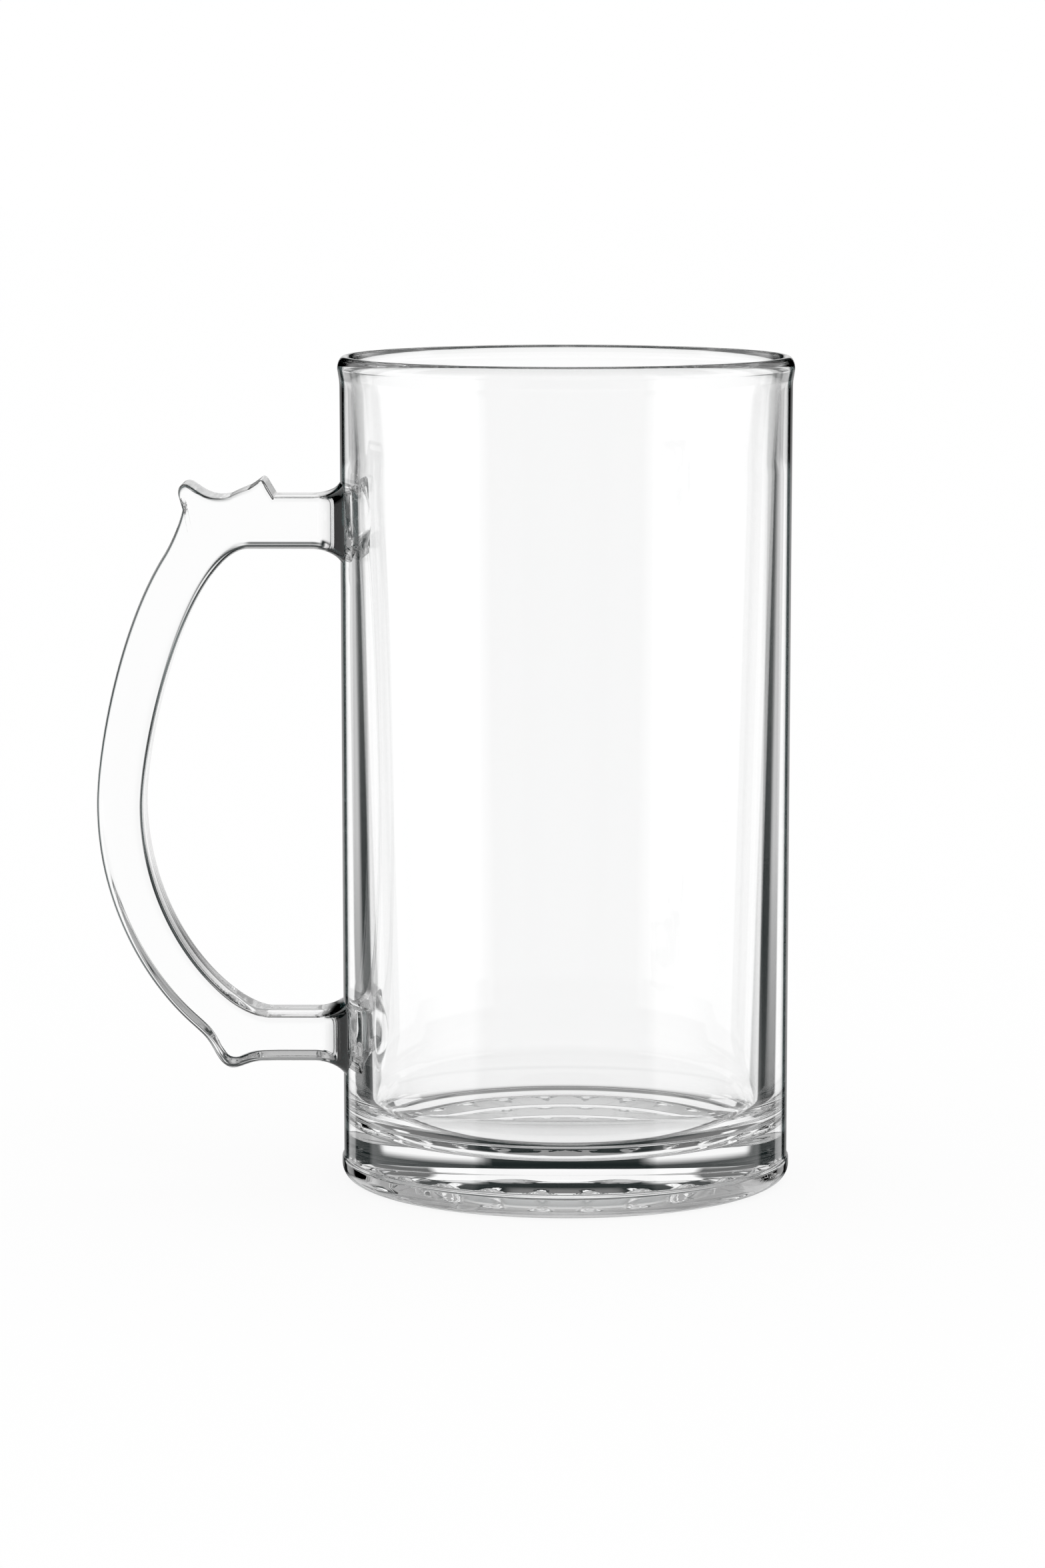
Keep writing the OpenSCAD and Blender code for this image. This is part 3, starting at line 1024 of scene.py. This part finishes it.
@dataclass
class Handle:
    """Solid bar: upper arm with thumb rest, grip, lower bend with its spur, and lower arm."""

    wall: Wall
    bar: Bar
    grip_t: float = 8.7
    reach: float = 88.0
    grip_z: float = 71.3
    upper_arm_l: float = 16.9
    lower_arm_l: float = 13.5
    upper_pull: float = 15.5
    grip_rise: float = 13.6
    grip_drop: float = 25.3
    lower_pull: float = 10.4
    ridge: Crest = field(default_factory=Crest)
    ridge_back: float = 2.6
    horn: Horn = field(default_factory=Horn)
    spur_h: float = 3.1
    spur_back: float = 5.2
    spur_long_l: float = 2.5
    spur_short_l: float = 1.7
    arm_n: int = 70
    bend_n: int = 24
    grip_n: int = 100
    lower_n: int = 110
    tail_n: int = 10
    corner_from_share: float = 0.7
    corner_to_share: float = 0.85

    @property
    def horn_ends(self) -> tuple[int, int]:
        """Numbers of the stations where the scoop starts and where the neck ends."""
        first = self.arm_n + self.bend_n
        return first, first + self.horn.steps

    def line(self) -> tuple[Array, Array, Array, Array]:
        """Middle line in the x, z plane: upper arm, two cubic curves, lower arm.

        Returns:
            Places, directions, run lengths, and the runs at the upper bend, grip and lower bend.
        """
        bar = self.bar
        upper_r, lower_r = self.wall.outer(bar.upper_z), self.wall.outer(bar.lower_z)
        upper_end = np.array([-upper_r - bar.collar_l, bar.upper_z])
        lower_end = np.array([-lower_r - bar.collar_l, bar.lower_z])
        upper_bend = np.array([-upper_r - self.upper_arm_l, bar.upper_z])
        lower_bend = np.array([-lower_r - self.lower_arm_l, bar.lower_z])
        grip = np.array([self.grip_t / 2 - self.reach, self.grip_z])
        out, up = np.array([-1.0, 0.0]), np.array([0.0, 1.0])
        start, end = self.horn.start_share, self.horn.end_share
        upper_t = np.concatenate([
            np.linspace(0.0, start, self.bend_n, endpoint=False),
            np.linspace(start, end, self.horn.steps, endpoint=False),
            np.linspace(end, 1.0, self.grip_n, endpoint=False),
        ])
        lower_t = np.linspace(0.0, 1.0, self.lower_n + 1)
        upper_pulls = [upper_bend + out * self.upper_pull, grip + up * self.grip_rise]
        lower_pulls = [grip - up * self.grip_drop, lower_bend + out * self.lower_pull]
        upper = cubic([upper_bend, *upper_pulls, grip], upper_t)
        lower = cubic([grip, *lower_pulls, lower_bend], lower_t)
        arm_t = np.linspace(0.0, 1.0, self.arm_n - 1, endpoint=False)
        arm_t = np.insert(arm_t, 1, bar.edge_share)[:, None]
        tail_t = np.linspace(0.0, 1.0, self.tail_n)
        tail_t = np.insert(tail_t, self.tail_n - 1, 1.0 - bar.edge_share)[1:, None]
        place = np.concatenate([
            upper_end + (upper_bend - upper_end) * arm_t, upper[0], lower[0],
            lower_bend + (lower_end - lower_bend) * tail_t,
        ])
        way = np.concatenate([
            np.tile(out, (self.arm_n, 1)), upper[1], lower[1], np.tile(-out, (self.tail_n, 1)),
        ])
        run = np.concatenate([[0.0], np.cumsum(np.linalg.norm(np.diff(place, axis=0), axis=1))])
        grip_first = self.horn_ends[1] + self.grip_n
        return place, way, run, run[[self.arm_n, grip_first, grip_first + self.lower_n]]

    def build(self, finish: GlassFinish, fused: bpy.types.Material) -> bpy.types.Object:
        """Carries the rounded section along the middle line, and marks the section's corners, where the
        painted dark outline goes.

        A corner is where the product of the section's two shares, side and lift, is near 1.

        Args:
            finish: Finish of the glass.
            fused: Material of the two ends.

        Returns:
            The handle.
        """
        bar = self.bar
        place, way, run, marks = self.line()
        plain = np.interp(run, marks, [bar.upper_t / 2, self.grip_t / 2, bar.lower_t / 2])
        spur_at = run - marks[2] + self.spur_back
        spur_l = np.where(spur_at < 0.0, self.spur_long_l, self.spur_short_l)
        deep = (
            plain
            + self.ridge.rise(run - marks[0] + self.ridge_back)
            + self.spur_h * np.exp(-((spur_at / spur_l) ** 2) / 2.0)
        )
        out = join(way[:, 1], -way[:, 0])
        edge = place + out * deep[:, None]
        first, last = self.horn_ends
        edge[first:last] = self.horn.edge(place[self.arm_n], edge[[first, last]], way[[first, last]])
        ring = section(bar.power, bar.corner_n, bar.flat_n)[::-1]
        side, lift = ring[:, 0] * bar.half_w, ring[:, 1:]
        outer, inner = (edge - place)[:, None], (out * plain[:, None])[:, None]
        spot = place[:, None] + np.where(lift > 0.0, outer, inner) * lift
        skin = Skin()
        rings = skin.add_points(join(spot[..., 0], side, spot[..., 1]))
        skin.add_strips(rings, closed=True)
        ends = skin.add_points(join(place[[0, -1], 0], 0.0, place[[0, -1], 1]))
        skin.add_fan(rings[0][::-1], int(ends[0]), Slot.FUSED)
        skin.add_fan(rings[-1], int(ends[1]), Slot.FUSED)
        made = skin.to_object("handle_glass", [finish.material(), fused])
        # Mask of the painted shade: dark outlines along the section's corners.
        near = np.abs(ring[:, 0] * ring[:, 1])
        start, end = self.corner_from_share, self.corner_to_share
        corner = np.clip((near - start) / (end - start), 0.0, 1.0)
        marked = np.concatenate([np.tile(corner, len(place)), np.zeros(2)])
        layer = made.data.attributes.new(finish.painted_shade_mark, "FLOAT", "POINT")
        layer.data.foreach_set("value", marked.astype(np.float32))
        return made


# Ends of the panels that go right round or all the way up or down, past 0, 180 and 90 degrees,
# so that no soft edge shows there.
BEHIND, FRONT, NADIR, ZENITH = -10.0, 190.0, -95.0, 95.0


@dataclass(frozen=True)
class Panel:
    """Patch of grey light with soft edges in the surround, as the mug sees it, in degrees.

    Azimuth is counted from straight behind the mug and holds on both sides, and elevation is
    counted from the horizon.
    """

    azimuth: Span
    elevation: Span
    level: float
    soft: float = 3.0

    def share(self, azimuth: Array, elevation: Array) -> Array:
        """Cover of the panel: the product of a ramp at each of its four edges.

        Args:
            azimuth: Azimuths without sign.
            elevation: Elevations.

        Returns:
            Shares from 0 to 1.
        """
        cover = np.ones(np.broadcast(azimuth, elevation).shape)
        for value, (low, high) in ((azimuth, self.azimuth), (elevation, self.elevation)):
            cover = cover * np.clip((value - low) / self.soft + 0.5, 0.0, 1.0)
            cover = cover * np.clip((high - value) / self.soft + 0.5, 0.0, 1.0)
        return cover


@dataclass(frozen=True)
class Dome:
    """Sphere of soft light about the mug, which only the glass shows."""

    name: str
    ground: tuple[float, float, float]
    panels: tuple[Panel, ...]
    radius: float = 3000.0
    middle_z: float = 75.0
    azimuth_n: int = 300
    elevation_n: int = 150
    pole: float = 89.8

    def light(self, azimuth: Array, elevation: Array) -> Array:
        """Colour of the sphere, with each panel laid over the ones before it.

        Args:
            azimuth: Azimuths in degrees.
            elevation: Elevations in degrees.

        Returns:
            Red, green, blue and alpha of each place.
        """
        shape = np.broadcast(azimuth, elevation).shape
        colour = np.broadcast_to(np.array(self.ground), shape + (3,))
        for panel in self.panels:
            share = panel.share(np.abs(azimuth), elevation)[..., None]
            colour = colour * (1.0 - share) + panel.level * share
        return np.concatenate([colour, np.ones(shape + (1,))], axis=-1)

    def build(self, finish: GlowFinish) -> bpy.types.Object:
        """Makes the sphere: radius times (-cos e sin a, cos e cos a, sin e), with its light.

        Args:
            finish: Finish that shows the light.

        Returns:
            The sphere.
        """
        azimuth = np.linspace(-180.0, 180.0, self.azimuth_n, endpoint=False)
        elevation = np.linspace(-self.pole, self.pole, self.elevation_n + 1)[:, None]
        a, e = np.radians(azimuth), np.radians(elevation)
        ball = join(-np.cos(e) * np.sin(a), np.cos(e) * np.cos(a), np.sin(e))
        skin = Skin()
        points = skin.add_points(ball * self.radius + np.array([0.0, 0.0, self.middle_z]))
        skin.add_strips(points, closed=True)
        made = skin.to_object(self.name, [finish.material()])
        layer = made.data.color_attributes.new(finish.attribute, "FLOAT_COLOR", "POINT")
        layer.data.foreach_set("color", self.light(azimuth, elevation).astype(np.float32).ravel())
        made.visible_camera = made.visible_diffuse = made.visible_shadow = False
        return made


BENT_LIGHT = Dome(
    "bent_light",
    (0.014, 0.02, 0.02),
    (
        Panel((BEHIND, FRONT), (28.0, ZENITH), 0.32, 6.0),
        Panel((BEHIND, FRONT), (60.0, ZENITH), 0.55, 6.0),
        Panel((115.0, FRONT), (10.0, 65.0), 0.5, 6.0),
        Panel((6.0, 168.0), (-52.0, -16.0), 0.12, 8.0),
        Panel((BEHIND, 20.0), (NADIR, -48.0), 0.3, 6.0),
        Panel((BEHIND, 20.0), (-48.0, -25.0), 1.0, 6.0),
        Panel((25.0, 36.5), (-13.0, -3.0), 0.6, 5.0),
        Panel((BEHIND, 25.0), (-27.0, -1.0), 1.0, 2.0),
        Panel((14.0, 42.0), (1.0, 9.0), 0.97),
        Panel((BEHIND, 8.0), (-14.0, 5.0), 1.05),
        Panel((BEHIND, 9.0), (13.0, 19.0), 0.2, 2.0),
        Panel((BEHIND, 9.0), (20.0, 29.0), 0.5, 2.0),
        Panel((49.0, 80.0), (-30.0, 2.0), 1.0, 2.0),
        Panel((49.0, 134.0), (-15.0, 2.0), 1.05, 2.0),
        Panel((134.0, FRONT), (-20.0, 8.0), 0.4, 4.0),
    ),
)
MIRRORED_LIGHT = Dome(
    "mirrored_light",
    (0.0, 0.0, 0.0),
    (
        Panel((BEHIND, FRONT), (NADIR, -18.0), 1.05, 4.0),
        Panel((60.0, 134.0), (-23.0, -1.0), 1.05, 4.0),
        Panel((35.0, 100.0), (7.0, 50.0), 1.05, 8.0),
        Panel((BEHIND, 19.0), (-13.0, -2.0), 0.5, 4.0),
        Panel((BEHIND, 7.0), (-16.0, -2.0), 1.0, 2.0),
        Panel((27.0, 40.0), (-16.0, 0.0), 1.05, 2.0),
        Panel((BEHIND, 9.0), (1.0, 27.0), 0.95, 4.0),
    ),
)


@dataclass
class Studio:
    """Camera, pale floor, and the two domes of light that the glass bends and mirrors."""

    lens: float = 122.14
    sensor: float = 36.0
    place: tuple[float, float, float] = (0.0, -994.0, 205.4)
    pitch: float = 7.48
    yaw: float = 0.469
    clip_end: float = 50000.0
    floor_half: float = 8000.0
    floor_drop: float = 0.05
    floor_finish: FloorFinish = FloorFinish()
    glow: GlowFinish = GlowFinish()
    bent: Dome = BENT_LIGHT
    mirrored: Dome = MIRRORED_LIGHT
    bounces: int = 32

    def camera(self) -> bpy.types.Object:
        """Makes the camera at the photograph's viewing angle.

        Returns:
            The camera.
        """
        data = bpy.data.cameras.new("camera")
        data.lens = self.lens
        data.sensor_width = self.sensor
        data.clip_end = self.clip_end * MM
        made = bpy.data.objects.new("camera", data)
        made.location = Vector(self.place) * MM
        made.rotation_euler = Euler((math.radians(90.0 - self.pitch), 0.0, math.radians(self.yaw)))
        bpy.context.scene.collection.objects.link(made)
        bpy.context.scene.camera = made
        return made

    def world(self) -> None:
        """Makes an even white surround of strength 1."""
        made = bpy.data.worlds.new("white_surround")
        graph = Graph(made)
        shader = graph.node("ShaderNodeBackground", inputs={"Color": WHITE, "Strength": 1.0})
        graph.finish("ShaderNodeOutputWorld", shader)
        bpy.context.scene.world = made

    def floor(self) -> None:
        """Makes the flat pale floor that takes the mug's shadow."""
        skin = Skin()
        ends = np.array([-self.floor_half, self.floor_half])
        y, x = np.meshgrid(ends, ends, indexing="ij")
        skin.add_strips(skin.add_points(join(x, y, -self.floor_drop)), closed=False)
        made = skin.to_object("floor", [self.floor_finish.material()])
        made.visible_transmission = False
        made.visible_glossy = False

    def hang_domes(self, camera: bpy.types.Object) -> None:
        """Hangs the domes on the camera's rig, one for bent and one for mirrored light.

        Args:
            camera: The camera that carries the rig.
        """
        for dome in (self.bent, self.mirrored):
            made = dome.build(self.glow)
            made.visible_transmission = dome is self.bent
            made.visible_glossy = dome is self.mirrored
            made.parent = camera
            made.matrix_parent_inverse = camera.matrix_basis.inverted()

    def build(self) -> None:
        """Sets the whole studio up."""
        scene = bpy.context.scene
        scene.view_settings.view_transform = "Standard"
        for kind in ("max", "transmission", "glossy", "transparent_max"):
            setattr(scene.cycles, kind + "_bounces", self.bounces)
        self.world()
        self.floor()
        self.hang_domes(self.camera())


def seat(piece: bpy.types.Object, node: str) -> None:
    """Ties a piece to the frame in the place of its CAD node.

    Args:
        piece: The new piece.
        node: The CAD node that it stands for.
    """
    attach(piece, BODY)
    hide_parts(node)
    LOG.info("%s stands for %s with %d faces", piece.name, node, len(piece.data.polygons))


def main() -> None:
    """Builds the studio and the four pieces."""
    logging.basicConfig(level=logging.INFO)
    Studio().build()
    wall, bar = Wall(), Bar()
    fused = FusedFinish().material()
    # The bowl's outer skin takes the default painted dark outline at grazing angles; its inside takes the
    # plain tint, so no painted shade.
    bowl_finish = GlassFinish("bowl_glass")
    inside_finish = GlassFinish("bowl_inside_glass", edge=bowl_finish.tint)
    # Painted shade: the weld collars turn near black near the wall from almost any view angle, in place
    # of the dark surround the flare would show.
    weld_finish = GlassFinish(
        "weld_glass",
        edge=(0.0004, 0.0015, 0.0015, 1.0),
        painted_shade_in=(0.03, 0.15),
        painted_shade_x=(-45.6, -44.3),
        wave_l=(5.0, 5.0, 5.0),
    )
    # Painted shade: dark outlines along the handle's section corners at grazing angles.
    bar_finish = GlassFinish(
        "handle_glass",
        painted_shade_in=(0.1, 0.3),
        painted_shade_out=(0.74, 0.69),
        painted_shade_x=(-58.0, -68.0),
        painted_shade_mark="corner",
        wave_l=(7.0, 7.0, 7.0),
    )
    seat(Bowl(wall, bar).build(bowl_finish, inside_finish, fused), "bowl")
    for collar in (
        WeldCollar("upper_weld_glass", "upper_weld_collar", wall, bar, bar.upper_z, bar.upper_t),
        WeldCollar("lower_weld_glass", "lower_weld_collar", wall, bar, bar.lower_z, bar.lower_t),
    ):
        seat(collar.build(weld_finish, fused), collar.node)
    seat(Handle(wall, bar).build(bar_finish, fused), "handle")


if __name__ == "__main__":
    main()
